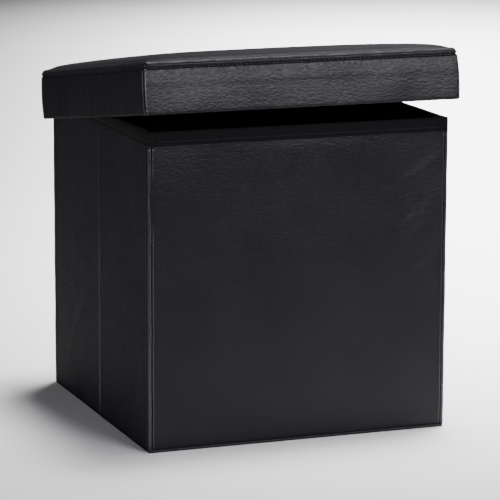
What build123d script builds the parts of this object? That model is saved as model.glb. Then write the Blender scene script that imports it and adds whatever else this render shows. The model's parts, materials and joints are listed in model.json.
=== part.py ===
"""Folding storage ottoman: a cube of board panels in sewn covers, with a padded lid.

Frame: millimetres, +Z up, origin on the floor under the middle of the box.
The front faces -Y, and left and right are those of someone facing the front.
The left and right walls are two half panels each, with an upright crease between
them, so that the front wall folds flat against the rear wall.
The lid stands ajar, tipped up at the front about the lower edge of its rear skirt.
"""

from build123d import *

import math
import os

# Box, measured over the covers
WIDTH = 370.0
DEPTH = 370.0
RIM_HEIGHT = 373.0

# Sheet thicknesses of a wall, from the outside in
COVER = 1.0  # imitation leather
BOARD = 3.0
LINING = 0.8  # black non-woven
WALL = COVER + BOARD + LINING

# Binding round the rim, over the wall
TAPE = 0.5
TAPE_LEG = 16.0  # how far it comes down each face
WALL_TOP = RIM_HEIGHT - TAPE

# Base
BOTTOM_SHEET = 0.6
BASE_BOARD = 2.2
BASE_TOP = BOTTOM_SHEET + BASE_BOARD
HEM_WIDTH = 6.0
BASE_FIT = 0.3  # between the hem and the loose base board
SWEEP_GAP = 0.4  # between the base and the walls that fold over it

# Pull tab, let into the base board's front edge
TAB_LENGTH = 60.0
TAB_WIDTH = 20.0
TAB_THICKNESS = 0.8
TAB_RECESS = 1.2
TAB_SET_BACK = 14.0

# Fold: a half panel turns about its inner corner and about the outside of the crease
FOLD_GAP = 0.3  # left between any two faces that meet when the box is flat
CORNER_AXIS_X = WIDTH / 2 - WALL - TAPE
CORNER_AXIS_Y = DEPTH / 2 - WALL - TAPE - FOLD_GAP
CREASE_AXIS_X = WIDTH / 2 + TAPE + FOLD_GAP / 2

# Lid, measured over its cover
LID_WIDTH = 388.0
LID_DEPTH = 388.0
SEAM_HEIGHT = 52.0  # from the skirt's lower edge to the seam with the top
LID_HEIGHT = 72.0
CROWN_ROUND = 11.5
LID_CORNER = 4.0
SEAM_BAND = 8.0
SEAM_BAND_PROUD = 0.6
LID_BOARD = 3.0
LID_LINING = 0.5
SKIRT_BOARD = 2.5
SKIRT = COVER + SKIRT_BOARD + LID_LINING
SKIRT_INSIDE = 36.8  # from the skirt's lower edge to the underside of the lid board

# How the loose lid sits: pushed forward and a little askew, and tipped up at the front
LID_SHIFT = 2.0  # to the left
LID_REAR_GAP = 3.4  # between the binding and the inside of the rear skirt
LID_SKEW = 0.9  # degrees, anticlockwise from above
LID_AJAR = 8.6  # degrees

PIVOT_AT = (
    -LID_SHIFT,
    DEPTH / 2 + TAPE + LID_REAR_GAP,
    RIM_HEIGHT + FOLD_GAP + LID_LINING - SKIRT_INSIDE,
)
PIVOT_AXIS = Vector(math.cos(math.radians(LID_SKEW)), math.sin(math.radians(LID_SKEW)), 0)
LEVEL_LID = Plane(origin=PIVOT_AT, x_dir=PIVOT_AXIS, z_dir=(0, 0, 1))
PIVOT = Plane(LEVEL_LID * Rotation(-LID_AJAR, 0, 0))
LID_MIDDLE = PIVOT.from_local_coords((0, SKIRT - LID_DEPTH / 2, 0))
LID = Plane(origin=LID_MIDDLE, x_dir=PIVOT.x_dir, z_dir=PIVOT.z_dir)


def save(piece, name):
    """Label a finished sub-part and write its STEP file."""
    piece.part.label = name
    export_step(piece.part, f"parts/{name}.step")


def sheet(name, face, along, up, inset, thickness):
    """A flat rectangle of sheet, lying inset behind a face that looks outward."""
    with BuildPart() as layer:
        with BuildSketch(face.offset(-inset)):
            with Locations((sum(along) / 2, sum(up) / 2)):
                Rectangle(along[1] - along[0], up[1] - up[0])
        extrude(amount=-thickness)
    save(layer, name)


def rim_tape(name, face, along):
    """Binding folded over the rim of one wall, with its two top edges rounded."""
    length = along[1] - along[0]
    middle = sum(along) / 2
    with BuildPart() as tape:
        with BuildSketch(face.offset(TAPE)):
            with Locations((middle, RIM_HEIGHT - TAPE_LEG / 2)):
                Rectangle(length, TAPE_LEG)
        extrude(amount=-(WALL + 2 * TAPE))
        crown = tape.faces().sort_by(Axis.Z)[-1]
        fillet(crown.edges().sort_by(SortBy.LENGTH)[-2:], TAPE)
        with BuildSketch(face):
            with Locations((middle, WALL_TOP - TAPE_LEG / 2)):
                Rectangle(length, TAPE_LEG)
        extrude(amount=-WALL, mode=Mode.SUBTRACT)
    save(tape, name)


def wrapped_cover(name, face, along, pocket, up, board):
    """Outer skin of a panel, turned in under its board and round the ends of the pocket."""
    low = up[0] + COVER
    with BuildPart() as cover:
        with BuildSketch(face):
            with Locations((sum(along) / 2, sum(up) / 2)):
                Rectangle(along[1] - along[0], up[1] - up[0])
        extrude(amount=-(COVER + board))
        with BuildSketch(face.offset(-COVER)):
            with Locations((sum(pocket) / 2, (low + up[1]) / 2)):
                Rectangle(pocket[1] - pocket[0], up[1] - low)
        extrude(amount=-board, mode=Mode.SUBTRACT)
    save(cover, name)


def wall(name, face, along, foot):
    """One wall or half wall: cover, board, lining and the binding over its rim."""
    pocket = (along[0] + COVER, along[1] - COVER)
    wrapped_cover(f"{name}_cover", face, along, pocket, (foot, WALL_TOP), BOARD)
    sheet(f"{name}_board", face, pocket, (foot + COVER, WALL_TOP), COVER, BOARD)
    sheet(f"{name}_lining", face, along, (foot, WALL_TOP), COVER + BOARD, LINING)
    rim_tape(f"{name}_rim_tape", face, along)


def walls():
    """The rear and front walls, and the four half walls between them."""
    foot = BASE_TOP + SWEEP_GAP
    whole = (-WIDTH / 2, WIDTH / 2)
    rear = Plane(origin=(0, DEPTH / 2, 0), x_dir=(-1, 0, 0), z_dir=(0, 1, 0))
    front = Plane(origin=(0, -DEPTH / 2, 0), x_dir=(1, 0, 0), z_dir=(0, -1, 0))
    wall("rear", rear, whole, BASE_TOP)
    wall("front", front, whole, foot)

    half_panel = (FOLD_GAP / 2, CORNER_AXIS_Y)
    mirrored = (-CORNER_AXIS_Y, -FOLD_GAP / 2)
    left = Plane(origin=(-WIDTH / 2, 0, 0), x_dir=(0, -1, 0), z_dir=(-1, 0, 0))
    right = Plane(origin=(WIDTH / 2, 0, 0), x_dir=(0, 1, 0), z_dir=(1, 0, 0))
    wall("left_front", left, half_panel, foot)
    wall("left_rear", left, mirrored, foot)
    wall("right_front", right, mirrored, foot)
    wall("right_rear", right, half_panel, foot)


def base():
    """Non-woven bottom with a hem round it, and the loose board that lies inside."""
    inside = (WIDTH - 2 * HEM_WIDTH, DEPTH - 2 * HEM_WIDTH)
    board_depth = inside[1] - 2 * BASE_FIT
    tab_y = -board_depth / 2 + TAB_SET_BACK + TAB_WIDTH / 2

    with BuildPart() as bottom:
        with BuildSketch():
            Rectangle(WIDTH, DEPTH)
        extrude(amount=BOTTOM_SHEET)
    save(bottom, "bottom_sheet")

    with BuildPart() as hem:
        with BuildSketch(Plane.XY.offset(BOTTOM_SHEET)):
            Rectangle(WIDTH, DEPTH)
            Rectangle(*inside, mode=Mode.SUBTRACT)
        extrude(amount=BASE_BOARD)
    save(hem, "bottom_hem")

    with BuildPart() as board:
        with BuildSketch(Plane.XY.offset(BOTTOM_SHEET)):
            Rectangle(inside[0] - 2 * BASE_FIT, board_depth)
        extrude(amount=BASE_BOARD)
        with BuildSketch(Plane.XY.offset(BASE_TOP - TAB_RECESS)):
            with Locations((0, tab_y)):
                Rectangle(TAB_LENGTH + 2, TAB_WIDTH + 2)
        extrude(amount=TAB_RECESS, mode=Mode.SUBTRACT)
    save(board, "base_board")

    with BuildPart() as tab:
        with BuildSketch(Plane.XY.offset(BASE_TOP - TAB_RECESS)):
            with Locations((0, tab_y)):
                Rectangle(TAB_LENGTH, TAB_WIDTH)
        extrude(amount=TAB_THICKNESS)
    save(tab, "base_pull_tab")


def lid_side(side, outward, distance, cover_half, board_half, lining_half):
    """One side of the skirt, at a distance from the lid's middle: cover, board and lining."""
    origin = LID.origin + outward * distance
    face = Plane(origin=origin, x_dir=LID.z_dir.cross(outward), z_dir=outward)
    cover = (-cover_half, cover_half)
    board = (-board_half, board_half)
    lining = (-lining_half, lining_half)
    board_up = (COVER, SKIRT_INSIDE + LID_BOARD)
    lining_up = (0, SKIRT_INSIDE - LID_LINING)
    wrapped_cover(f"lid_{side}_cover", face, cover, board, (0, SEAM_HEIGHT), SKIRT_BOARD)
    sheet(f"lid_{side}_skirt_board", face, board, board_up, COVER, SKIRT_BOARD)
    sheet(f"lid_{side}_skirt_lining", face, lining, lining_up, COVER + SKIRT_BOARD, LID_LINING)


def lid():
    """Padded lid: foam on a board, a stiff skirt round it, a cover and a lining."""
    half_x = LID_WIDTH / 2
    half_y = LID_DEPTH / 2
    skin = COVER + SKIRT_BOARD
    # the front and rear sides run the whole width, and the other two stand between them
    for side, outward in (("front", -LID.y_dir), ("rear", LID.y_dir)):
        lid_side(side, outward, half_y, half_x, half_x - COVER, half_x - skin)
    for side, outward in (("left", -LID.x_dir), ("right", LID.x_dir)):
        lid_side(side, outward, half_x, half_y - skin, half_y - skin, half_y - SKIRT)

    in_cover = (LID_WIDTH - 2 * COVER, LID_DEPTH - 2 * COVER)
    in_boards = (in_cover[0] - 2 * SKIRT_BOARD, in_cover[1] - 2 * SKIRT_BOARD)
    board_top = SKIRT_INSIDE + LID_BOARD

    with BuildPart() as lining:
        with BuildSketch(LID.offset(SKIRT_INSIDE - LID_LINING)):
            Rectangle(*in_boards)
        extrude(amount=LID_LINING)
    save(lining, "lid_lining")

    with BuildPart() as board:
        with BuildSketch(LID.offset(SKIRT_INSIDE)):
            Rectangle(*in_boards)
        extrude(amount=LID_BOARD)
    save(board, "lid_board")

    with BuildPart() as foam:
        with BuildSketch(LID.offset(SEAM_HEIGHT)):
            RectangleRounded(*in_cover, LID_CORNER - COVER)
        extrude(amount=LID_HEIGHT - COVER - SEAM_HEIGHT)
        crown = foam.faces().sort_by(Axis(LID.origin, LID.z_dir))[-1]
        fillet(crown.edges(), CROWN_ROUND - COVER)
        with BuildSketch(LID.offset(board_top)):
            Rectangle(*in_boards)
        extrude(amount=SEAM_HEIGHT - board_top)
    save(foam, "lid_foam")

    with BuildPart() as top:
        with BuildSketch(LID.offset(SEAM_HEIGHT)):
            RectangleRounded(LID_WIDTH, LID_DEPTH, LID_CORNER)
        extrude(amount=LID_HEIGHT - SEAM_HEIGHT)
        crown = top.faces().sort_by(Axis(LID.origin, LID.z_dir))[-1]
        fillet(crown.edges(), CROWN_ROUND)
        add(foam.part, mode=Mode.SUBTRACT)
    save(top, "lid_top_cover")

    with BuildPart() as band:
        with BuildSketch(LID.offset(SEAM_HEIGHT)):
            RectangleRounded(
                LID_WIDTH + 2 * SEAM_BAND_PROUD,
                LID_DEPTH + 2 * SEAM_BAND_PROUD,
                LID_CORNER + SEAM_BAND_PROUD,
            )
            RectangleRounded(LID_WIDTH, LID_DEPTH, LID_CORNER, mode=Mode.SUBTRACT)
        extrude(amount=SEAM_BAND)
    save(band, "lid_seam_band")


def main():
    os.makedirs("parts", exist_ok=True)
    walls()
    base()
    lid()
    print("corner axes at x", CORNER_AXIS_X, "and y", CORNER_AXIS_Y)
    print("crease axes at x", CREASE_AXIS_X)
    print("lid axis through", PIVOT_AT, "along", PIVOT.x_dir)


main()
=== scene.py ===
import json
import math

import bpy
import numpy as np
from mathutils import Matrix, Vector


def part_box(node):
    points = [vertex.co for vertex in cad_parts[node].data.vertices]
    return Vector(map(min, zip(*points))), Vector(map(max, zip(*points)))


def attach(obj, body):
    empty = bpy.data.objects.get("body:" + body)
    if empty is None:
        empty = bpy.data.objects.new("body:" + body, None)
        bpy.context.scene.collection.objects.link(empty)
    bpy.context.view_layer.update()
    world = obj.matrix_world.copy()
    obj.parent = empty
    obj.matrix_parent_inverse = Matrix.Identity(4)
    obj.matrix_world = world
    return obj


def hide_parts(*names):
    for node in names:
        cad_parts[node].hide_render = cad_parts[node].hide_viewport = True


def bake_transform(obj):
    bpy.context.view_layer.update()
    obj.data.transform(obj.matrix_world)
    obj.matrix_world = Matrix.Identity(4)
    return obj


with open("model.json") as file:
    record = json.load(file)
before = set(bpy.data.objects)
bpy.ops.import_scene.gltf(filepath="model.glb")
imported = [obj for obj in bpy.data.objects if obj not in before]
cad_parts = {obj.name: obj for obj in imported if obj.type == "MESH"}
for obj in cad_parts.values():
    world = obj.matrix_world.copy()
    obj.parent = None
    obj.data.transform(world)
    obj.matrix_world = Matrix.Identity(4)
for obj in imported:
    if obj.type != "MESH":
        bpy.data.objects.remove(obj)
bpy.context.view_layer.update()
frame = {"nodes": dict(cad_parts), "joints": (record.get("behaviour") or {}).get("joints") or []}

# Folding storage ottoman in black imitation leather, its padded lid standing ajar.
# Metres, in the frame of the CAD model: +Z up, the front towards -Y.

MM = 0.001
TINY = 1e-9
FAR = 1e9  # further than anything in the model

# ---------------------------------------------------------------- camera

CAMERA_AT = (-1.206, -3.214, 0.869)
CAMERA_YAW = 20.69
CAMERA_PITCH = 11.15
CAMERA_ROLL = 0.23
LENS = 206.5


def add_camera():
    """The camera, standing to the left of the front and looking slightly down."""
    data = bpy.data.cameras.new("camera")
    data.sensor_width = 36
    data.lens = LENS
    camera = bpy.data.objects.new("camera", data)
    bpy.context.scene.collection.objects.link(camera)
    yaw, pitch = math.radians(CAMERA_YAW), math.radians(CAMERA_PITCH)
    look = Vector((math.sin(yaw) * math.cos(pitch), math.cos(yaw) * math.cos(pitch), -math.sin(pitch)))
    camera.rotation_mode = "QUATERNION"
    roll = Matrix.Rotation(math.radians(CAMERA_ROLL), 4, "Z")
    turn = look.to_track_quat("-Z", "Y").to_matrix().to_4x4() @ roll
    camera.rotation_quaternion = turn.to_quaternion()
    camera.location = CAMERA_AT
    bpy.context.scene.camera = camera


add_camera()

# ---------------------------------------------------------------- sizes read from the frame

lid_tilt = next(joint for joint in frame["joints"] if joint["name"] == "lid_tilt")

TILT = -math.radians(lid_tilt["range_deg"][0])
LID_RIGHT = -Vector(lid_tilt["axis"])
LID_SKEW = math.atan2(LID_RIGHT.y, LID_RIGHT.x)
# The lid's level frame: it stands on the hinge axis, tipped up with the lid
LID = (
    Matrix.Translation(Vector(lid_tilt["pos_m"]))
    @ Matrix.Rotation(-TILT, 4, LID_RIGHT)
    @ Matrix.Rotation(LID_SKEW, 4, "Z")
)


def lid_box(node):
    """Lowest and highest corner of a lid node in the lid's own level frame."""
    level = LID.inverted()
    corners = np.array([level @ vertex.co for vertex in frame["nodes"][node].data.vertices])
    return corners.min(0), corners.max(0)


HALF_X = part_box("front_cover")[1].x
HALF_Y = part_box("rear_cover")[1].y
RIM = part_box("front_rim_tape")[1].z
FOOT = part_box("front_cover")[0].z
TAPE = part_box("rear_rim_tape")[1].y - HALF_Y
TAPE_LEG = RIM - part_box("front_rim_tape")[0].z
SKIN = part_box("front_cover")[1].y + HALF_Y  # cover and board together
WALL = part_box("front_lining")[1].y + HALF_Y
PANEL_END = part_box("left_rear_cover")[1].y

LID_LOW, LID_HIGH = lid_box("lid_top_cover")
LID_HALF_X = (LID_HIGH[0] - LID_LOW[0]) / 2
LID_HALF_Y = (LID_HIGH[1] - LID_LOW[1]) / 2
SEAM = LID_LOW[2]
BAND_TOP = lid_box("lid_seam_band")[1][2]
SKIRT_SKIN = lid_box("lid_front_skirt_board")[1][1] - lid_box("lid_front_cover")[0][1]
SIDE_SKIRT_HALF = (lid_box("lid_left_cover")[1][1] - lid_box("lid_left_cover")[0][1]) / 2
# The same, with its origin under the middle of the lid
LID_LEVEL = LID @ Matrix.Translation((0, (LID_LOW[1] + LID_HIGH[1]) / 2, 0))

# ---------------------------------------------------------------- mesh helpers


def mesh_piece(name, verts, faces, smooth=True):
    """A new mesh object from vertex rows and face lists."""
    mesh = bpy.data.meshes.new(name)
    mesh.from_pydata([tuple(v) for v in np.asarray(verts, float)], [], [list(f) for f in faces])
    mesh.update()
    if smooth:
        mesh.shade_smooth()
    piece = bpy.data.objects.new(name, mesh)
    bpy.context.scene.collection.objects.link(piece)
    return piece


def finish_piece(piece, material, body=None, replaced=()):
    """Gives a piece its material and slot, and lets it ride and stand for CAD nodes."""
    piece.data.materials.clear()
    piece.data.materials.append(material)
    if replaced:
        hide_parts(*replaced)
    if body:
        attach(piece, body)
    return piece


def stand(origin, right, up):
    """The matrix that takes (along, up, outward) on an upright face to the model's frame."""
    right, up = Vector(right).normalized(), Vector(up).normalized()
    out = right.cross(up)
    turn = Matrix((right, up, out)).transposed().to_4x4()
    return Matrix.Translation(Vector(origin)) @ turn


def placed(matrix, points):
    """Rows of points taken through a matrix."""
    m = np.array(matrix)
    return points @ m[:3, :3].T + m[:3, 3]


def ripple(u, v, size, seed, waves=9):
    """Smooth random unevenness of about unit height, with bumps about size across."""
    draw = np.random.default_rng(seed)
    total = np.zeros_like(u)
    for _ in range(waves):
        angle = draw.uniform(0, math.pi)
        pitch = 2 * size * draw.uniform(0.7, 1.6)
        phase = draw.uniform(0, 2 * math.pi)
        along = u * math.cos(angle) + v * math.sin(angle)
        total = total + np.sin(along * 2 * math.pi / pitch + phase)
    return total / math.sqrt(waves)


def hump(x, middle, width):
    """A bell of height 1 about a middle."""
    return np.exp(-(((x - middle) / width) ** 2))


def across_line(u, v, points):
    """Signed distance from a polyline, and how far along it the nearest point is, from 0 to 1."""
    best = np.full(u.shape, FAR)
    signed = np.zeros_like(u)
    share = np.zeros_like(u)
    count = len(points) - 1
    for i in range(count):
        (au, av), (bu, bv) = points[i], points[i + 1]
        du, dv = bu - au, bv - av
        length = math.hypot(du, dv)
        t = np.clip(((u - au) * du + (v - av) * dv) / length**2, 0, 1)
        ou, ov = u - au - t * du, v - av - t * dv
        distance = np.hypot(ou, ov)
        nearer = distance < best
        best = np.where(nearer, distance, best)
        side = np.sign(du * ov - dv * ou)
        signed = np.where(nearer, side * distance, signed)
        share = np.where(nearer, (i + t) / count, share)
    return signed, share


FOLD_FADE = 0.6  # the lower this power, the blunter a fold's ends
HOLLOW_AWAY, HOLLOW_WIDTH, HOLLOW_DEPTH = 1.6, 1.3, 0.6  # as shares of the fold's ridge


def fold_line(u, v, points, height, width):
    """A soft ridge with a hollow under it along a polyline, dying away at both ends."""
    s, share = across_line(u, v, points)
    fade = np.sin(np.clip(share, 0, 1) * math.pi) ** FOLD_FADE
    hollow = hump(s, -HOLLOW_AWAY * width, HOLLOW_WIDTH * width)
    return height * fade * (hump(s, 0, width) - HOLLOW_DEPTH * hollow)


ROUND_STEPS = 4  # facets round an edge of a wrapped board


def wrapped_board(name, place, low, high, depth, radius, step, shape):
    """A board in its skin: a face between two (along, up) corners, rounded edges and a flat back.

    shape takes and returns the arrays along, up and out of every vertex, where out is
    0 on the face and negative behind it. It also takes a weight, 1 on the face and 0 behind it.
    """
    (u0, v0), (u1, v1) = low, high
    nu = max(2, round((u1 - u0 - 2 * radius) / step))
    nv = max(2, round((v1 - v0 - 2 * radius) / step))
    us = np.linspace(u0 + radius, u1 - radius, nu + 1)
    vs = np.linspace(v0 + radius, v1 - radius, nv + 1)
    gu, gv = np.meshgrid(us, vs)
    rows = [np.column_stack([gu.ravel(), gv.ravel(), np.zeros(gu.size)])]
    weights = [np.ones(gu.size)]

    def at(i, j):
        return j * (nu + 1) + i

    faces = [
        (at(i, j), at(i + 1, j), at(i + 1, j + 1), at(i, j + 1))
        for j in range(nv) for i in range(nu)
    ]
    rim = [at(i, 0) for i in range(nu + 1)]
    rim += [at(nu, j) for j in range(1, nv + 1)]
    rim += [at(i, nv) for i in range(nu - 1, -1, -1)]
    rim += [at(0, j) for j in range(nv - 1, 0, -1)]
    base = rows[0][rim]
    away = np.zeros((len(rim), 2))
    for axis, ends in ((0, us), (1, vs)):
        at_low, at_high = base[:, axis] <= ends[0] + TINY, base[:, axis] >= ends[-1] - TINY
        away[:, axis] = np.where(at_low, -1, np.where(at_high, 1, 0))

    turns = [math.pi / 2 * k / ROUND_STEPS for k in range(1, ROUND_STEPS + 1)]
    rings = [(radius * math.sin(a), -radius * (1 - math.cos(a)), math.cos(a)) for a in turns]
    rings.append((radius, -depth, 0.0))
    previous = rim
    count = gu.size
    for reach, out, weight in rings:
        ring = np.column_stack([base[:, :2] + away * reach, np.full(len(rim), out)])
        rows.append(ring)
        weights.append(np.full(len(rim), weight))
        current = list(range(count, count + len(rim)))
        count += len(rim)
        for k in range(len(rim)):
            n = (k + 1) % len(rim)
            faces.append((previous[n], previous[k], current[k], current[n]))
        previous = current
    faces.append(tuple(reversed(previous)))

    along, up, outward = np.vstack(rows).T
    points = np.column_stack(shape(along, up, outward, np.concatenate(weights)))
    return mesh_piece(name, placed(place, points), faces)


def swept(name, place, profile, stations, wobble):
    """A closed profile of (up, out) points carried along a straight run."""
    profile = np.asarray(profile, float)
    size = len(profile)
    rows = []
    for u in stations:
        v, out = wobble(u, profile[:, 0], profile[:, 1])
        rows.append(np.column_stack([np.full(size, u), v, out]))
    faces = []
    for k in range(len(stations) - 1):
        for i in range(size):
            j = (i + 1) % size
            faces.append((k * size + i, k * size + j, (k + 1) * size + j, (k + 1) * size + i))
    faces.append(tuple(range(size - 1, -1, -1)))
    last = (len(stations) - 1) * size
    faces.append(tuple(range(last, last + size)))
    return mesh_piece(name, placed(place, np.vstack(rows)), faces)


def upright_bead(name, place, ups, centre, radius, sides):
    """A round bead up a face. centre gives its (along, out) at a height."""
    ring = [2 * math.pi * k / sides for k in range(sides)]
    rows, faces = [], []
    for v in ups:
        along, out = centre(v)
        rows += [(along + radius * math.cos(a), v, out + radius * math.sin(a)) for a in ring]
    for k in range(len(ups) - 1):
        for i in range(sides):
            j = (i + 1) % sides
            faces.append((k * sides + i, (k + 1) * sides + i, (k + 1) * sides + j, k * sides + j))
    last = (len(ups) - 1) * sides
    faces += [tuple(range(sides)), tuple(range(last + sides - 1, last - 1, -1))]
    return mesh_piece(name, placed(place, np.array(rows)), faces)


ARC_POINTS = 7  # of each rounded corner of a path


def perimeter(half_x, half_y, radius, step):
    """Points round a rounded rectangle, anticlockwise from above, with their outward directions."""
    points, normals = [], []
    corners = [(1, -1, -90), (1, 1, 0), (-1, 1, 90), (-1, -1, 180)]
    for k, (sx, sy, start) in enumerate(corners):
        cx, cy = sx * (half_x - radius), sy * (half_y - radius)
        for a in np.linspace(start, start + 90, ARC_POINTS):
            direction = np.array([math.cos(math.radians(a)), math.sin(math.radians(a))])
            points.append(np.array([cx, cy]) + radius * direction)
            normals.append(direction)
        nx, ny, _ = corners[(k + 1) % len(corners)]
        end_direction = normals[-1]
        goal = np.array([nx * (half_x - radius), ny * (half_y - radius)]) + radius * end_direction
        run = goal - points[-1]
        pieces = max(1, round(np.linalg.norm(run) / step))
        begin = points[-1]
        for i in range(1, pieces):
            points.append(begin + run * i / pieces)
            normals.append(end_direction)
    return np.array(points), np.array(normals)


def hoop(name, place, path, normals, profile, wobble=None):
    """A closed profile of (outward, up) points carried round a closed path."""
    profile = np.asarray(profile, float)
    size, count = len(profile), len(path)
    rows = []
    for k in range(count):
        out, up = profile[:, 0], profile[:, 1]
        if wobble:
            out, up = wobble(path[k], out, up)
        x, y = path[k][0] + normals[k][0] * out, path[k][1] + normals[k][1] * out
        rows.append(np.column_stack([x, y, up]))
    faces = []
    for k in range(count):
        n = (k + 1) % count
        for i in range(size):
            j = (i + 1) % size
            faces.append((k * size + i, n * size + i, n * size + j, k * size + j))
    return mesh_piece(name, placed(place, np.vstack(rows)), faces)


# One stitch is a short bead of thread, arched over the cloth with both ends sunk into it
STITCH_SIDES = 6
STITCH_RINGS = [
    # (place along it from -1 to 1, share of its radius, lift in radii)
    (-1.0, 0.3, -0.9), (-0.75, 0.8, -0.2), (0.0, 1.0, 0.25), (0.75, 0.8, -0.2), (1.0, 0.3, -0.9),
]


def stitches(name, runs, length, radius):
    """Stitches as one piece. runs holds (centre, along, outward) of each stitch."""
    verts, faces = [], []
    for centre, along, out in runs:
        centre, along, out = np.array(centre), np.array(along), np.array(out)
        side = np.cross(along, out)
        start = len(verts)
        for t, fat, lift in STITCH_RINGS:
            middle = centre + along * t * length / 2 + out * lift * radius
            for k in range(STITCH_SIDES):
                a = 2 * math.pi * k / STITCH_SIDES
                verts.append(middle + (side * math.cos(a) + out * math.sin(a)) * radius * fat)
        rings = len(STITCH_RINGS)
        for r in range(rings - 1):
            for k in range(STITCH_SIDES):
                n = (k + 1) % STITCH_SIDES
                a, b = start + r * STITCH_SIDES, start + (r + 1) * STITCH_SIDES
                faces.append((a + k, a + n, b + n, b + k))
        faces.append(tuple(start + k for k in range(STITCH_SIDES - 1, -1, -1)))
        faces.append(tuple(start + (rings - 1) * STITCH_SIDES + k for k in range(STITCH_SIDES)))
    return mesh_piece(name, verts, faces)


def stitch_row(place, start, end, pitch, out=0.0):
    """Stitches along a straight line on a face, from (along, up) start to end."""
    m = np.array(place)
    a, b = np.array([*start, out]), np.array([*end, out])
    length = np.linalg.norm(b - a)
    count = max(1, int(length / pitch))
    direction = m[:3, :3] @ ((b - a) / length)
    outward = m[:3, 2]
    for k in range(count):
        middle = a + (b - a) * (k + 0.5) / count
        yield m[:3, :3] @ middle + m[:3, 3], direction, outward


# ---------------------------------------------------------------- materials


class Nodes:
    """A material under construction: its shader and short ways to add nodes."""

    def __init__(self, name, roughness, specular=0.5):
        self.material = bpy.data.materials.new(name)
        self.material.use_nodes = True
        self.tree = self.material.node_tree
        self.shader = self.tree.nodes["Principled BSDF"]
        self.shader.inputs["Roughness"].default_value = roughness
        self.shader.inputs["Specular IOR Level"].default_value = specular
        self.place = self.tree.nodes.new("ShaderNodeTexCoord").outputs["Object"]

    def link(self, output, socket):
        self.tree.links.new(output, socket)

    def scaled(self, scale):
        mapping = self.tree.nodes.new("ShaderNodeMapping")
        mapping.inputs["Scale"].default_value = scale
        self.link(self.place, mapping.inputs["Vector"])
        return mapping.outputs["Vector"]

    def noise(self, scale, detail=3.0, rough=0.5, stretch=(1, 1, 1)):
        node = self.tree.nodes.new("ShaderNodeTexNoise")
        node.inputs["Scale"].default_value = scale
        node.inputs["Detail"].default_value = detail
        node.inputs["Roughness"].default_value = rough
        self.link(self.scaled(stretch), node.inputs["Vector"])
        return node.outputs["Fac"]

    def cells(self, scale):
        node = self.tree.nodes.new("ShaderNodeTexVoronoi")
        node.feature = "SMOOTH_F1"
        node.inputs["Scale"].default_value = scale
        self.link(self.place, node.inputs["Vector"])
        return node.outputs["Distance"]

    def ribs(self, scale, direction, distortion=0.6):
        node = self.tree.nodes.new("ShaderNodeTexWave")
        node.bands_direction = direction
        node.inputs["Scale"].default_value = scale
        node.inputs["Distortion"].default_value = distortion
        self.link(self.place, node.inputs["Vector"])
        return node.outputs["Fac"]

    def math(self, operation, a, b):
        node = self.tree.nodes.new("ShaderNodeMath")
        node.operation = operation
        for socket, value in zip(node.inputs, (a, b)):
            if isinstance(value, (int, float)):
                socket.default_value = value
            else:
                self.link(value, socket)
        return node.outputs["Value"]

    def spread(self, value, low, high, start=0.3, stop=0.7):
        node = self.tree.nodes.new("ShaderNodeMapRange")
        node.inputs["From Min"].default_value = start
        node.inputs["From Max"].default_value = stop
        node.inputs["To Min"].default_value = low
        node.inputs["To Max"].default_value = high
        self.link(value, node.inputs["Value"])
        return node.outputs["Result"]

    def colours(self, value, dark, light, start=0.3, stop=0.7):
        node = self.tree.nodes.new("ShaderNodeValToRGB")
        for stage, position, colour in zip(node.color_ramp.elements, (start, stop), (dark, light)):
            stage.position = position
            stage.color = (*colour, 1)
        self.link(value, node.inputs["Fac"])
        self.link(node.outputs["Color"], self.shader.inputs["Base Color"])

    def bump(self, heights):
        """Adds up (height, distance in metres) pairs, the coarsest first."""
        normal = None
        for height, distance in heights:
            node = self.tree.nodes.new("ShaderNodeBump")
            node.inputs["Strength"].default_value = 1.0
            node.inputs["Distance"].default_value = distance
            self.link(height, node.inputs["Height"])
            if normal:
                self.link(normal, node.inputs["Normal"])
            normal = node.outputs["Normal"]
        self.link(normal, self.shader.inputs["Normal"])


def leather_material(name, roughness, wear, specular):
    """Black imitation leather: pebbled grain in faint level creases, a soft sheen."""
    nodes = Nodes(name, roughness, specular)
    patches = nodes.noise(14, 3)
    nodes.colours(patches, (0.0065, 0.0063, 0.0082), (0.0095, 0.0092, 0.0118))
    streaks = nodes.noise(340, 2, 0.5, stretch=(0.58, 0.58, 1.2))
    satin = nodes.spread(streaks, roughness - wear, roughness + wear)
    # the grain hides its own gloss when it is seen along the surface
    graze = nodes.tree.nodes.new("ShaderNodeLayerWeight")
    rougher = nodes.spread(graze.outputs["Facing"], 0.0, 0.45, 0.2, 0.6)
    nodes.link(nodes.math("ADD", satin, rougher), nodes.shader.inputs["Roughness"])
    pebbles = nodes.cells(620)
    nodes.bump([
        (nodes.noise(55, 2), 0.14 * MM),
        (streaks, 0.36 * MM),
        (pebbles, 0.09 * MM),
    ])
    return nodes.material


def nonwoven_material(name, dark, light, roughness, fibre=620):
    """Pressed black fibres, with the faint dimples of their bonding points."""
    nodes = Nodes(name, roughness, 0.05)
    fibres = nodes.noise(fibre, 5, 0.7)
    nodes.colours(fibres, dark, light)
    dimples = nodes.cells(420)
    nodes.bump([(nodes.noise(60, 2), 0.25 * MM), (dimples, 0.12 * MM), (fibres, 0.16 * MM)])
    nodes.shader.inputs["Sheen Weight"].default_value = 0.015
    nodes.shader.inputs["Sheen Roughness"].default_value = 0.5
    return nodes.material


def woven_material(name, dark, light, roughness, threads):
    """A tight plain weave."""
    nodes = Nodes(name, roughness, 0.3)
    weave = nodes.math("MULTIPLY", nodes.ribs(threads, "DIAGONAL"), nodes.ribs(threads, "Z"))
    nodes.colours(nodes.math("ADD", weave, nodes.noise(90, 2)), dark, light)
    nodes.bump([(weave, 0.15 * MM), (nodes.noise(900, 2), 0.05 * MM)])
    nodes.shader.inputs["Sheen Weight"].default_value = 0.1
    return nodes.material


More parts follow.
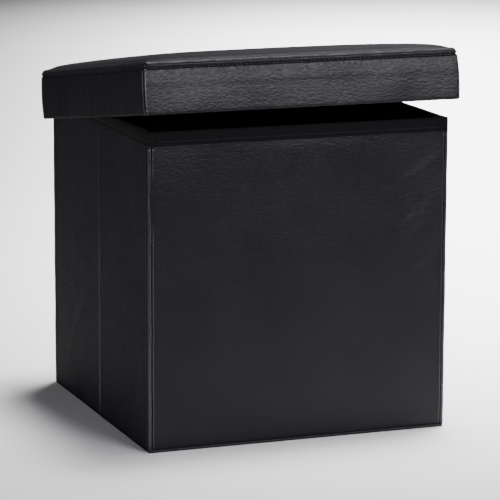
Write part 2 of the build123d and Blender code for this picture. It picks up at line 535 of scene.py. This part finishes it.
def board_material():
    """Raw fibreboard, brown and speckled."""
    nodes = Nodes("raw_board", 0.85, 0.2)
    speckle = nodes.noise(700, 5, 0.7)
    nodes.colours(speckle, (0.23, 0.15, 0.08), (0.42, 0.30, 0.18))
    nodes.bump([(speckle, 0.1 * MM)])
    return nodes.material


LEATHER = leather_material("black_leather", 0.36, 0.06, 0.15)
RUBBED = leather_material("black_leather_rubbed_edge", 0.30, 0.05, 0.6)
LINING = nonwoven_material("black_lining", (0.006, 0.006, 0.007), (0.013, 0.013, 0.014), 0.9)
BINDING = nonwoven_material("black_binding", (0.003, 0.003, 0.0035), (0.007, 0.007, 0.008), 0.8, 900)
FACING = nonwoven_material("base_board_facing", (0.010, 0.010, 0.011), (0.020, 0.020, 0.022), 0.88)
THREAD = woven_material("black_thread", (0.006, 0.006, 0.007), (0.016, 0.016, 0.018), 0.55, 900)
RIBBON = woven_material("black_ribbon", (0.008, 0.008, 0.009), (0.024, 0.024, 0.026), 0.6, 420)
# Near-black and matt, darker than black thread: black thread with the shade of its stitch holes painted in,
# and painted shade in the grooves of the box's corner seams
THREAD_AND_SEAM_SHADE = nonwoven_material("matt_thread_and_painted_seam_shade", (0.001, 0.001, 0.001), (0.002, 0.002, 0.002), 0.95)
BOARD = board_material()

# ---------------------------------------------------------------- box walls

UP = (0, 0, 1)
WALLS = {
    # name: (body, place, low along, high along)
    "front": ("front_wall", stand((0, -HALF_Y, 0), (1, 0, 0), UP), -HALF_X, HALF_X),
    "rear": ("rear_wall", stand((0, HALF_Y, 0), (-1, 0, 0), UP), -HALF_X, HALF_X),
    "left_rear": ("left_rear_half", stand((-HALF_X, 0, 0), (0, -1, 0), UP), -PANEL_END, 0),
    "left_front": ("left_front_half", stand((-HALF_X, 0, 0), (0, -1, 0), UP), 0, PANEL_END),
    "right_front": ("right_front_half", stand((HALF_X, 0, 0), (0, 1, 0), UP), -PANEL_END, 0),
    "right_rear": ("right_rear_half", stand((HALF_X, 0, 0), (0, 1, 0), UP), 0, PANEL_END),
}
CREASE_GAP = 0.1 * MM
CREASE_ROUND = 0.9 * MM
EDGE_ROUND = 1.8 * MM
PANEL_STEP = 3 * MM

# Soft folds in the leather, as (along, up) points on the wall's face, with height and width
FOLDS = {
    "front": [
        ([(0.122, 0.296), (0.152, 0.310), (0.184, 0.334)], 0.9 * MM, 7 * MM),
        ([(0.116, 0.238), (0.150, 0.256), (0.184, 0.288)], 1.0 * MM, 8 * MM),
        ([(0.130, 0.192), (0.158, 0.208), (0.184, 0.238)], 0.8 * MM, 7 * MM),
    ],
    "left_rear": [
        (
            [(-0.012, 0.178), (-0.052, 0.140), (-0.090, 0.104), (-0.120, 0.062), (-0.134, 0.020)],
            0.5 * MM, 9 * MM,
        ),
    ],
    "right_front": [
        ([(-0.020, 0.150), (-0.070, 0.112), (-0.118, 0.090)], 0.5 * MM, 6 * MM),
    ],
}

# Places where the leather stands off its board: (along, up), height and (wide, tall)
PUFFS = {
    "front": [
        ((-0.152, 0.300), 1.3 * MM, (0.040, 0.045)),
        ((0.020, 0.330), 0.9 * MM, (0.090, 0.030)),
    ],
}


# Slack waves of the skin: (height, size of a bump)
WALL_WAVES = [(0.22 * MM, 0.075), (0.09 * MM, 0.024)]
# Bells across the skin beside a seam: (height, distance from the seam, width)
CORNER_DIP = [(-0.45 * MM, 0, 5 * MM)]
SEAM_ALLOWANCE = [(0.6 * MM, 2.8 * MM, 2.4 * MM), (-0.3 * MM, 8 * MM, 4 * MM)]
HEM_DIP = [(-0.3 * MM, 0, 5 * MM)]
# Just under the binding the relief dies away to a share of itself
RIM_FADE, RIM_SHARE = 8 * MM, 0.3


def beside(distance, bells):
    """The sum of some bells at distances from a seam."""
    return sum(height * hump(distance, at, width) for height, at, width in bells)


def wall_relief(name, low, high, seed):
    """The shape of a wall's skin: slack waves, its folds and the rolls beside its seams."""

    def shape(u, v, out, weight):
        lift = sum(height * ripple(u, v, size, seed + k) for k, (height, size) in enumerate(WALL_WAVES))
        for (across, up), height, (wide, tall) in PUFFS.get(name, []):
            lift = lift + height * hump(u, across, wide) * hump(v, up, tall)
        for points, height, width in FOLDS.get(name, []):
            lift = lift + fold_line(u, v, points, height, width)
        if name in ("front", "rear"):
            for end in (low, high):
                lift = lift + beside(np.abs(u - end), CORNER_DIP)
        else:
            # the seam allowance behind the corner seam stands up as a soft roll
            lift = lift + beside(PANEL_END - np.abs(u), SEAM_ALLOWANCE)
        # the hem pulls the skin in along the floor
        lift = lift + beside(v - FOOT, HEM_DIP)
        fade = np.clip((RIM - TAPE_LEG - v) / RIM_FADE, 0, 1)
        lift = lift * (RIM_SHARE + (1 - RIM_SHARE) * fade)
        return u, v, out + lift * weight

    return shape


def panel_ends(low, high):
    """A wall's ends along its face, with the gap that a half wall leaves at the crease."""
    return low if low else CREASE_GAP, high if high else -CREASE_GAP


def build_wall_skins():
    """The leather on every wall and half wall."""
    for seed, (name, (body, place, low, high)) in enumerate(WALLS.items()):
        u0, u1 = panel_ends(low, high)
        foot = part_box(f"{name}_cover")[0].z
        radius = EDGE_ROUND if name in ("front", "rear") else CREASE_ROUND
        skin = wrapped_board(
            f"{name}_leather", place, (u0, foot), (u1, RIM - TAPE), SKIN, radius, PANEL_STEP,
            wall_relief(name, low, high, 10 * seed),
        )
        finish_piece(skin, LEATHER, body, [f"{name}_cover"])


# Binding profile, as (depth below the rim, distance outside the wall), one leg at a time
STITCH_DROP = 11 * MM
GROOVE = 0.62 * TAPE  # what is left of the tape where the stitches pull it in
TAPE_LEG_SHAPE = [
    (TAPE_LEG, 0.02 * MM),
    (TAPE_LEG, 0.42 * MM),
    (TAPE_LEG - 0.6 * MM, TAPE),
    (STITCH_DROP + 1.6 * MM, TAPE),
    (STITCH_DROP + 0.6 * MM, GROOVE),
    (STITCH_DROP - 0.6 * MM, GROOVE),
    (STITCH_DROP - 1.6 * MM, TAPE),
    (6 * MM, TAPE + 0.08 * MM),
    (2.0 * MM, TAPE),
    (0.8 * MM, 0.75 * TAPE),
    (0.15 * MM, 0.1 * TAPE),
]
TAPE_STEP = 4 * MM
TAPE_WAVE, TAPE_WAVE_SIZE = 0.18 * MM, 0.02  # how the tape's lower edge wanders
TAPE_WAVE_FROM, TAPE_WAVE_OVER = 8 * MM, 8 * MM  # below the rim
TAPE_PITCH, TAPE_STITCH, TAPE_THREAD = 3.6 * MM, 2.7 * MM, 0.22 * MM


def binding_profile():
    """Closed profile of the tape over a rim, as (up, out) points in the wall's place."""
    outer = [(RIM - drop, out) for drop, out in TAPE_LEG_SHAPE]
    inner = [(RIM - drop, -WALL - out) for drop, out in reversed(TAPE_LEG_SHAPE)]
    crown = [(RIM, -0.3 * WALL), (RIM, -0.7 * WALL)]
    under = [(RIM - TAPE, -WALL), (RIM - TAPE, 0.0)]
    return list(reversed(outer + crown + inner + under))


def build_bindings():
    """The tape over each wall's rim, with its stitches on both legs."""
    for seed, (name, (body, place, low, high)) in enumerate(WALLS.items()):
        u0, u1 = panel_ends(low, high)
        stations = np.linspace(u0, u1, round((u1 - u0) / TAPE_STEP) + 1)

        def wobble(u, v, out, seed=seed):
            wave = float(ripple(np.array([u]), np.array([0.0]), TAPE_WAVE_SIZE, 200 + seed)[0])
            low_edge = np.clip((RIM - v - TAPE_WAVE_FROM) / TAPE_WAVE_OVER, 0, 1)
            return v + TAPE_WAVE * wave * low_edge, out

        tape = swept(f"{name}_binding", place, binding_profile(), stations, wobble)
        finish_piece(tape, BINDING, body, [f"{name}_rim_tape"])

        line = RIM - STITCH_DROP
        back = place @ Matrix.Translation((0, 0, -WALL)) @ Matrix.Rotation(math.pi, 4, "Y")
        rows = [*stitch_row(place, (u0, line), (u1, line), TAPE_PITCH, GROOVE)]
        rows += stitch_row(back, (-u1, line), (-u0, line), TAPE_PITCH, GROOVE)
        thread = stitches(f"{name}_binding_stitches", rows, TAPE_STITCH, TAPE_THREAD)
        finish_piece(thread, THREAD, body)


# The rolled corner seam of the box: (name, distance from the corner, sunk by, radius, material)
CORNER_ROLLS = [
    ("welt", 1.5 * MM, 1.4 * MM, 2.1 * MM, RUBBED),
    # the middle roll is no thread: a near-black matt strip of painted shade in the groove between the welt
    # and the turned edge
    ("stitching", 3.7 * MM, 0.35 * MM, 0.75 * MM, THREAD_AND_SEAM_SHADE),
    ("edge", 5.2 * MM, 0.3 * MM, 1.0 * MM, RUBBED),
]
WELT_END = 0.5 * MM  # above the foot, and past the binding's edge
WELT_STATIONS, WELT_SIDES = 60, 12
SWAY, SHIVER = 0.12 * MM, 0.08 * MM  # how far a seam wanders sideways, slowly and quickly


def build_corner_welts():
    """The rolled seam down each corner of the box, the turned edge beside it, and a strip of painted shade
    in the groove between them.
    """
    ups = np.linspace(FOOT + WELT_END, RIM - TAPE_LEG + WELT_END, WELT_STATIONS)
    for name in ("front", "rear"):
        body, place, low, high = WALLS[name]
        for label, end in (("low", low), ("high", high)):
            inward = -1 if end > 0 else 1
            for kind, at, sunk, radius, material in CORNER_ROLLS:

                def centre(v, end=end, inward=inward, at=at, sunk=sunk):
                    sway = SWAY * math.sin(v * 61 + end * 40) + SHIVER * math.sin(v * 149)
                    return end + inward * (at + sway), -sunk

                roll = upright_bead(f"{name}_{label}_corner_{kind}", place, ups, centre, radius, WELT_SIDES)
                finish_piece(roll, material, body)


LAP, LAP_PROUD = 13 * MM, 0.22 * MM  # of a tape's lapped end over the corner
LAP_LOW, LAP_HIGH = 0.4 * MM, 0.12 * MM  # how far it passes the tape below and above
LAP_GAP = 0.1 * MM  # it stands this much less proud at the back
LAP_ROUND, LAP_STEP = 1.5 * MM, 1.6 * MM
LAP_WAVE, LAP_WAVE_SIZE, LAP_SEED = 0.07 * MM, 0.006, 7


def lap_relief(u, v, out, weight):
    """The slight unevenness of a lapped tape end."""
    return u, v, out + LAP_WAVE * weight * ripple(u, v, LAP_WAVE_SIZE, LAP_SEED)


def build_rim_corners():
    """The lapped end of the tape at each end of the front and rear walls."""
    depth = WALL + 2 * TAPE + 2 * LAP_PROUD - LAP_GAP
    for name in ("front", "rear"):
        body, place, low, high = WALLS[name]
        for side, end in (("left", low), ("right", high)):
            sign = 1 if end > 0 else -1
            ends = sorted((end + sign * LAP_PROUD, end - sign * LAP))
            corner = wrapped_board(
                f"{name}_{side}_binding_end", place @ Matrix.Translation((0, 0, TAPE + LAP_PROUD)),
                (ends[0], RIM - TAPE_LEG - LAP_LOW), (ends[1], RIM + LAP_HIGH),
                depth, LAP_ROUND, LAP_STEP, lap_relief,
            )
            finish_piece(corner, BINDING, body)


CREASE_WIDTH, CREASE_PROUD = 2.4 * MM, 1.3 * MM
CREASE_FRONT, CREASE_BACK = 0.25 * MM, 0.5 * MM  # sunk below the wall's face
CREASE_STATIONS, CREASE_POINTS = 90, 9


def build_creases():
    """The leather's folded ridge down the middle of each side."""
    heights = np.linspace(FOOT, RIM - TAPE_LEG, CREASE_STATIONS)
    across = np.linspace(-1, 1, CREASE_POINTS)
    for side, sign in (("left", -1), ("right", 1)):
        rows, faces = [], []
        for z in heights:
            sway = SWAY * math.sin(z * 70) + SHIVER * math.sin(z * 173 + 1)
            for t in across:
                arch = CREASE_PROUD * (math.cos(t * math.pi) + 1) / 2
                x = sign * (HALF_X - CREASE_FRONT + arch)
                rows.append((x, t * CREASE_WIDTH + sway * (1 - t * t), z))
            rows += [(sign * (HALF_X - CREASE_BACK), t * CREASE_WIDTH, z) for t in (0.9, -0.9)]
        size = len(across) + 2
        for k in range(len(heights) - 1):
            for i in range(size):
                j = (i + 1) % size
                quad = (k * size + i, k * size + j, (k + 1) * size + j, (k + 1) * size + i)
                faces.append(quad if sign > 0 else tuple(reversed(quad)))
        bottom = tuple(range(size - 1, -1, -1))
        top = tuple((len(heights) - 1) * size + i for i in range(size))
        faces += [bottom, top] if sign > 0 else [tuple(reversed(bottom)), tuple(reversed(top))]
        ridge = mesh_piece(f"{side}_crease_ridge", rows, faces)
        finish_piece(ridge, RUBBED)
        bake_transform(ridge)


# ---------------------------------------------------------------- lid

BULGE, BULGE_POWER = 0.9 * MM, 0.8
# Slack waves of the skirt: (height, size of a bump, factor on heights that draws it out upward)
SKIRT_WAVES = [(0.28 * MM, 0.016, 0.45), (0.16 * MM, 0.045, 1)]
SKIRT_SEAM_DIP = [(-0.4 * MM, 3.2 * MM, 1.6 * MM)]
BOARD_LINE = SEAM - 19 * MM  # where the lid board's edge shows through the skirt
BOARD_STEP, BOARD_BLUR = 0.28 * MM, 0.9 * MM
SKIRT_ROUND, SKIRT_STEP = 2.0 * MM, 2.2 * MM
SKIRT_TUCK = 0.6 * MM  # of the skirt's skin behind the band


def swell(v):
    """How far the skirt stands out at a height above its lower edge."""
    return BULGE * np.sin(np.clip(v / SEAM, 0, 1) * math.pi) ** BULGE_POWER


def skirt_relief(half, seed):
    """The skirt's skin: swollen, rippled, and drawn in beside the upright corner seams."""

    def shape(u, v, out, weight):
        bulge = swell(v)
        lift = sum(
            height * ripple(u, v * squeeze, size, seed + k)
            for k, (height, size, squeeze) in enumerate(SKIRT_WAVES)
        )
        lift = lift + beside(half - np.abs(u), SKIRT_SEAM_DIP)
        lift = lift + BOARD_STEP / (1 + np.exp(-(v - BOARD_LINE) / BOARD_BLUR))
        return u * (1 + bulge / half), v, out + bulge + lift * weight

    return shape


def lid_side_places():
    """(side, place, half length) of the skirt's faces, in the lid's level frame."""
    yield "front", LID_LEVEL @ stand((0, -LID_HALF_Y, 0), (1, 0, 0), UP), LID_HALF_X
    yield "rear", LID_LEVEL @ stand((0, LID_HALF_Y, 0), (-1, 0, 0), UP), LID_HALF_X
    yield "left", LID_LEVEL @ stand((-LID_HALF_X, 0, 0), (0, -1, 0), UP), SIDE_SKIRT_HALF
    yield "right", LID_LEVEL @ stand((LID_HALF_X, 0, 0), (0, 1, 0), UP), SIDE_SKIRT_HALF


ROLL = 1.0 * MM  # radius of the turned edge beside an upright corner seam
ROLL_INWARD, ROLL_LIFT = 0.9 * MM, 0.35 * ROLL
ROLL_LOW, ROLL_HIGH = 0.8 * MM, SEAM - 0.4 * MM
ROLL_STATIONS, ROLL_SIDES = 24, 10


def build_corner_rolls(side, place, half):
    """The edge of one side's leather, turned in as a thin roll along both upright corner seams."""
    ups = np.linspace(ROLL_LOW, ROLL_HIGH, ROLL_STATIONS)
    for label, end in (("left", -1), ("right", 1)):

        def centre(v, end=end):
            return end * (half - ROLL_INWARD) * (1 + swell(v) / half), swell(v) + ROLL_LIFT

        roll = upright_bead(f"lid_{side}_{label}_corner_roll", place, ups, centre, ROLL, ROLL_SIDES)
        finish_piece(roll, RUBBED, "lid")


# Topstitching of the skirt's corner seams: how many, the lowest one's height, and their pitch
CORNER_STITCHES, CORNER_STITCH_FOOT, CORNER_PITCH = 11, 3.5 * MM, 4.2 * MM
CORNER_STITCH, CORNER_THREAD = 3.0 * MM, 0.3 * MM
CORNER_STITCH_OUT, CORNER_STITCH_LIFT = 0.2 * MM, 0.1 * MM


def corner_stitch_rows(place, half):
    """The stitches up both corner seams of one side of the skirt."""
    m = np.array(place)
    for end in (-1, 1):
        for k in range(CORNER_STITCHES):
            v = CORNER_STITCH_FOOT + CORNER_PITCH * k
            u = end * (half + CORNER_STITCH_OUT) * (1 + swell(v) / half)
            centre = m[:3, :3] @ np.array([u, v, swell(v) + CORNER_STITCH_LIFT]) + m[:3, 3]
            yield centre, m[:3, 1], m[:3, 2]


def build_skirt():
    """Four leather sides of the lid, with topstitched corner seams."""
    corner_rows = []
    for seed, (side, place, half) in enumerate(lid_side_places()):
        skin = wrapped_board(
            f"lid_{side}_leather", place, (-half, 0), (half, SEAM + SKIRT_TUCK),
            SKIRT_SKIN, SKIRT_ROUND, SKIRT_STEP, skirt_relief(half, 300 + 10 * seed),
        )
        finish_piece(skin, LEATHER, "lid", [f"lid_{side}_cover"])
        if side in ("left", "right"):
            corner_rows += corner_stitch_rows(place, half)
        build_corner_rolls(side, place, half)
    thread = stitches("lid_corner_stitches", corner_rows, CORNER_STITCH, CORNER_THREAD)
    finish_piece(thread, THREAD, "lid")


BAND_PROUD = 0.9 * MM
BAND_HIGH = BAND_TOP + 0.8 * MM
BAND_IN = -5 * MM  # its inner side, hidden under the cushion
SEAM_STITCH = SEAM + 1.2 * MM
SEAM_GROOVE = 0.45 * MM  # how far out the band's skin is where the stitches pull it in
# Section of the band as (out, up): a groove for the stitches, a roll above it, leaning back
BAND_SECTION = [
    (BAND_IN, SEAM),
    (-0.4 * MM, SEAM - 0.2 * MM),
    (0.5 * MM, SEAM + 0.2 * MM),
    (SEAM_GROOVE, SEAM_STITCH - 0.4 * MM),
    (SEAM_GROOVE, SEAM_STITCH + 0.4 * MM),
    (BAND_PROUD, SEAM + 2.5 * MM),
    (BAND_PROUD + 0.3 * MM, SEAM + 3.6 * MM),
    (BAND_PROUD, SEAM + 4.8 * MM),
    (BAND_PROUD - 0.8 * MM, SEAM + 6.2 * MM),
    (BAND_PROUD - 2.2 * MM, BAND_HIGH - 0.9 * MM),
    (-2.8 * MM, BAND_HIGH),
    (-4.4 * MM, BAND_HIGH - 0.4 * MM),
    (BAND_IN, BAND_HIGH - 2 * MM),
]
BAND_CORNER, BAND_STEP = 5 * MM, 4 * MM
BAND_WAVE_SIZE, BAND_SEED, BAND_WAVE_OUT, BAND_WAVE_UP = 0.012, 77, 0.22 * MM, 0.12 * MM
SEAM_PITCH, SEAM_STITCH_LENGTH, SEAM_THREAD_RADIUS = 5.6 * MM, 3.8 * MM, 0.55 * MM
SEAM_STITCH_OUT = 0.4 * MM
SEAM_END = 4 * MM  # from each corner, where the stitches stop


def build_band():
    """The topstitched band that joins the lid's top to its skirt, and its stitches."""

    def wobble(point, out, up):
        x, y = np.array([point[0]]), np.array([point[1]])
        wave = float(ripple(x, y, BAND_WAVE_SIZE, BAND_SEED)[0])
        return out + BAND_WAVE_OUT * wave, up + BAND_WAVE_UP * wave

    path, normals = perimeter(LID_HALF_X, LID_HALF_Y, BAND_CORNER, BAND_STEP)
    band = hoop("lid_seam_band_leather", LID_LEVEL, path, normals, BAND_SECTION, wobble)
    finish_piece(band, LEATHER, "lid", ["lid_seam_band"])

    rows = []
    for side, place, _ in lid_side_places():
        end = (LID_HALF_X if side in ("front", "rear") else LID_HALF_Y) - SEAM_END
        rows += stitch_row(place, (-end, SEAM_STITCH), (end, SEAM_STITCH), SEAM_PITCH, SEAM_STITCH_OUT)
    # the stitches are near-black: the shade of their stitch holes is painted into the thread's colour
    thread = stitches("lid_seam_stitches", rows, SEAM_STITCH_LENGTH, SEAM_THREAD_RADIUS)
    finish_piece(thread, THREAD_AND_SEAM_SHADE, "lid")


CUSHION_FOOT = SEAM + 1.5 * MM
CUSHION_SHOULDER = BAND_TOP + 0.6 * MM
SHOULDER_IN = 3.6 * MM  # of the lid's side, where the crown starts
# The crown is a quick rounding over the edge and a slow rise to the middle: (height, reach)
CROWN_PARTS = [(6.5 * MM, 9 * MM), (3.0 * MM, 60 * MM)]
CUSHION_RISE = 3.2 * MM  # the most that blowing up adds
CUSHION_UNDER = SEAM - 2 * MM
CUSHION_INSET, CUSHION_CORNER, CUSHION_STEP = 0.8 * MM, 7 * MM, 6 * MM
# The rings up its side, as (inward, up), and over its crown, as shares of the shoulder
SIDE_RINGS = [(0, CUSHION_FOOT), (0.9 * MM, CUSHION_FOOT + 3.2 * MM), (2.8 * MM, CUSHION_SHOULDER)]
CROWN_RINGS = [0.995, 0.985, 0.973, 0.96, 0.944, 0.925, *np.linspace(0.90, 0.02, 30)]
HELD_BELOW = CUSHION_SHOULDER - 1.5 * MM
FREE_OVER = 20 * MM  # from the shoulder inward, the cloth comes free over this width
VOXEL = 4 * MM


def crown_lift(x, y):
    """Height of the crown above its shoulder at a point of the lid."""
    total = 0
    for height, reach in CROWN_PARTS:
        rise = [
            1 - np.exp(-np.maximum(half - SHOULDER_IN - np.abs(a), 0) / reach)
            for half, a in ((LID_HALF_X, x), (LID_HALF_Y, y))
        ]
        total = total + height * rise[0] * rise[1]
    return total


def cushion_blank():
    """The cushion before it swells: a low dome with rounded corners, in the level frame."""
    path, normals = perimeter(
        LID_HALF_X - CUSHION_INSET, LID_HALF_Y - CUSHION_INSET, CUSHION_CORNER, CUSHION_STEP)
    count = len(path)
    rings = [np.column_stack([path, np.full(count, CUSHION_UNDER)])]
    for inward, up in SIDE_RINGS:
        rings.append(np.column_stack([path - normals * inward, np.full(count, up)]))
    shoulder = rings[-1][:, :2]
    for share in CROWN_RINGS:
        inner = shoulder * share
        rings.append(np.column_stack([inner, CUSHION_SHOULDER + crown_lift(inner[:, 0], inner[:, 1])]))
    faces = [tuple(range(count - 1, -1, -1))]
    for r in range(len(rings) - 1):
        for k in range(count):
            n = (k + 1) % count
            faces.append((r * count + k, r * count + n, (r + 1) * count + n, (r + 1) * count + k))
    faces.append(tuple((len(rings) - 1) * count + k for k in range(count)))
    return mesh_piece("lid_cushion", np.vstack(rings), faces)


def blow_up(piece, free, cap, pressure=4.0, frames=20):
    """Where cloth under pressure comes to rest.

    free gives each vertex's freedom from 0 to 1, and cap is how far one may move.
    """
    start = np.array([v.co for v in piece.data.vertices])
    group = piece.vertex_groups.new(name="held")
    for index, point in enumerate(start):
        group.add([index], float(1 - free(point)), "REPLACE")
    cloth = piece.modifiers.new("cloth", "CLOTH")
    cloth.settings.quality = 6
    cloth.settings.mass = 0.25
    cloth.settings.tension_stiffness = 12
    cloth.settings.compression_stiffness = 12
    cloth.settings.bending_stiffness = 1.2
    cloth.settings.use_pressure = True
    cloth.settings.uniform_pressure_force = pressure
    cloth.settings.effector_weights.gravity = 0
    cloth.settings.vertex_group_mass = "held"
    cloth.point_cache.frame_start, cloth.point_cache.frame_end = 1, frames
    scene = bpy.context.scene
    for number in range(1, frames + 1):
        scene.frame_set(number)
    evaluated = piece.evaluated_get(bpy.context.evaluated_depsgraph_get())
    moved = np.array([v.co for v in evaluated.data.vertices])
    piece.modifiers.remove(cloth)
    piece.vertex_groups.clear()
    scene.frame_set(1)
    shift = moved - start
    distance = np.linalg.norm(shift, axis=1, keepdims=True)
    # ease towards the cap, so that a stretch that reaches it stays curved
    eased = cap * np.tanh(distance / cap)
    return start + shift * eased / np.maximum(distance, TINY)


def edge_distance(point):
    """How far a point is inside the nearest side of the lid."""
    return min(LID_HALF_X - abs(point[0]), LID_HALF_Y - abs(point[1]))


def build_cushion():
    """The padded top: blown up as cloth, held down along its seam."""
    piece = cushion_blank()
    bpy.context.view_layer.objects.active = piece
    remesh = piece.modifiers.new("remesh", "REMESH")
    remesh.mode = "VOXEL"
    remesh.voxel_size = VOXEL
    bpy.ops.object.select_all(action="DESELECT")
    piece.select_set(True)
    bpy.ops.object.modifier_apply(modifier="remesh")

    def free(point):
        if point[2] < HELD_BELOW:
            return 0.0
        return min(1.0, max(0.0, (edge_distance(point) - SHOULDER_IN) / FREE_OVER))

    swollen = blow_up(piece, free, CUSHION_RISE)
    piece.data.vertices.foreach_set("co", swollen.ravel())
    piece.data.update()
    subdivide = piece.modifiers.new("subdivide", "SUBSURF")
    subdivide.levels = subdivide.render_levels = 1
    bpy.ops.object.modifier_apply(modifier="subdivide")
    piece.data.transform(LID_LEVEL)
    piece.data.shade_smooth()
    finish_piece(piece, LEATHER, "lid", ["lid_top_cover", "lid_foam"])


# ---------------------------------------------------------------- base

HEM_LOW, HEM_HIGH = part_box("bottom_sheet")[1].z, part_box("bottom_hem")[1].z
HEM_WIDTH, HEM_CORNER, HEM_STEP = 6 * MM, 1.5 * MM, 8 * MM
# Section of the hem as (out, up), from under the box round its lower edge and back inside
HEM_SECTION = [
    (-HEM_WIDTH, HEM_LOW),
    (-0.9 * MM, 0.05 * MM),
    (-0.25 * MM, 0.35 * MM),
    (0, 1.1 * MM),
    (0, HEM_HIGH - 0.1 * MM),
    (-0.1 * MM, HEM_HIGH),
    (-HEM_WIDTH, HEM_HIGH),
]


def build_hem():
    """The leather turned in round the bottom of the box."""
    path, normals = perimeter(HALF_X, HALF_Y, HEM_CORNER, HEM_STEP)
    hem = hoop("bottom_hem_leather", Matrix.Identity(4), path, normals, HEM_SECTION)
    finish_piece(hem, LEATHER, "rear_wall", ["bottom_hem"])


RIBBON_STATIONS = 25
RIBBON_ARCH, RIBBON_SUNK = 0.45 * MM, 0.25 * MM
# Section of the ribbon, as (share of its half width, depth below its top)
RIBBON_SECTION = [
    (-1, 0.4 * MM), (-0.96, 0), (0.96, 0), (1, 0.4 * MM), (0.96, 0.6 * MM), (-0.96, 0.6 * MM),
]


def build_ribbon():
    """The ribbon tab on the base board, arched off it in the middle."""
    low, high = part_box("base_pull_tab")
    middle = (low + high) / 2
    half = (high - low) / 2
    rows, faces = [], []
    for t in np.linspace(-1, 1, RIBBON_STATIONS):
        top = high.z + RIBBON_ARCH * (1 - t * t) - RIBBON_SUNK
        rows += [(middle.x + t * half.x, middle.y + share * half.y, top - depth)
                 for share, depth in RIBBON_SECTION]
    size = len(RIBBON_SECTION)
    for k in range(RIBBON_STATIONS - 1):
        for i in range(size):
            j = (i + 1) % size
            faces.append((k * size + i, (k + 1) * size + i, (k + 1) * size + j, k * size + j))
    last = (RIBBON_STATIONS - 1) * size
    faces += [tuple(range(size)), tuple(range(last + size - 1, last - 1, -1))]
    ribbon = mesh_piece("base_pull_ribbon", rows, faces)
    finish_piece(ribbon, RIBBON, "rear_wall", ["base_pull_tab"])


# ---------------------------------------------------------------- carried-over CAD nodes


def paint_cad_nodes():
    """Materials for the CAD nodes that show as they are."""
    for name, node in frame["nodes"].items():
        if name.endswith("lining") or name == "bottom_sheet":
            material = LINING
        elif name == "base_board":
            material = FACING
        elif name.endswith("board"):
            material = BOARD
        elif name.endswith("rim_tape"):
            material = BINDING
        elif name == "base_pull_tab":
            material = RIBBON
        else:
            material = LEATHER
        node.data.materials.clear()
        node.data.materials.append(material)


# ---------------------------------------------------------------- room and light

COOL = (0.96, 0.95, 1.0)
OVERHEAD_TURN = -20.7  # degrees, so that the overhead light runs along the line of sight
FLOOR_REACH = 6.0
WORLD_STRENGTH = 0.015
BOX_MIDDLE = (0, 0, 0.3)


def area_light(name, at, target, size, watts, turn=0.0, spread=180.0, colour=(1, 1, 1)):
    """A soft rectangular light aimed at a point, turned about its own beam."""
    data = bpy.data.lights.new(name, "AREA")
    data.shape = "RECTANGLE"
    data.size, data.size_y = size
    data.energy = watts
    data.color = colour
    data.spread = math.radians(spread)
    light = bpy.data.objects.new(name, data)
    light.location = at
    light.rotation_mode = "QUATERNION"
    aim = (Vector(target) - Vector(at)).to_track_quat("-Z", "Y").to_matrix()
    light.rotation_quaternion = (aim @ Matrix.Rotation(math.radians(turn), 3, "Z")).to_quaternion()
    bpy.context.scene.collection.objects.link(light)


def build_studio():
    """A plain white floor and soft light, mostly from above, and dim from the front and rear."""
    corners = [(FLOOR_REACH * x, FLOOR_REACH * y, 0) for x, y in ((-1, -1), (1, -1), (1, 1), (-1, 1))]
    floor = mesh_piece("floor", corners, [(0, 1, 2, 3)], smooth=False)
    nodes = Nodes("white_floor", 0.9, 0.1)
    nodes.colours(nodes.noise(2, 1), (0.86, 0.86, 0.86), (0.88, 0.88, 0.88))
    floor.data.materials.append(nodes.material)

    world = bpy.data.worlds.new("studio")
    world.use_nodes = True
    background = world.node_tree.nodes["Background"]
    background.inputs["Color"].default_value = (1, 1, 1, 1)
    background.inputs["Strength"].default_value = WORLD_STRENGTH
    bpy.context.scene.world = world

    area_light("overhead", (1.25, 1.85, 2.4), (1.25, 1.85, 0), (1.1, 4.2), 160,
               turn=OVERHEAD_TURN, spread=56)
    area_light("front_softbox", (1.15, -2.8, 1.25), BOX_MIDDLE, (1.9, 0.9), 12, spread=60, colour=COOL)
    area_light("left_edge_light", (-2.6, -1.6, 0.8), BOX_MIDDLE, (0.3, 1.4), 3, spread=40, colour=COOL)
    area_light("crown_softbox", (0.2, -0.1, 2.3), (-0.1, -0.1, 0.44), (0.7, 0.5), 2.5,
               spread=50, colour=COOL)
    area_light("rear_softbox", (2.4, 2.6, 1.6), BOX_MIDDLE, (2.0, 1.6), 22)


build_wall_skins()
build_bindings()
build_corner_welts()
build_rim_corners()
build_creases()
build_skirt()
build_band()
build_cushion()
build_hem()
build_ribbon()
paint_cad_nodes()
build_studio()
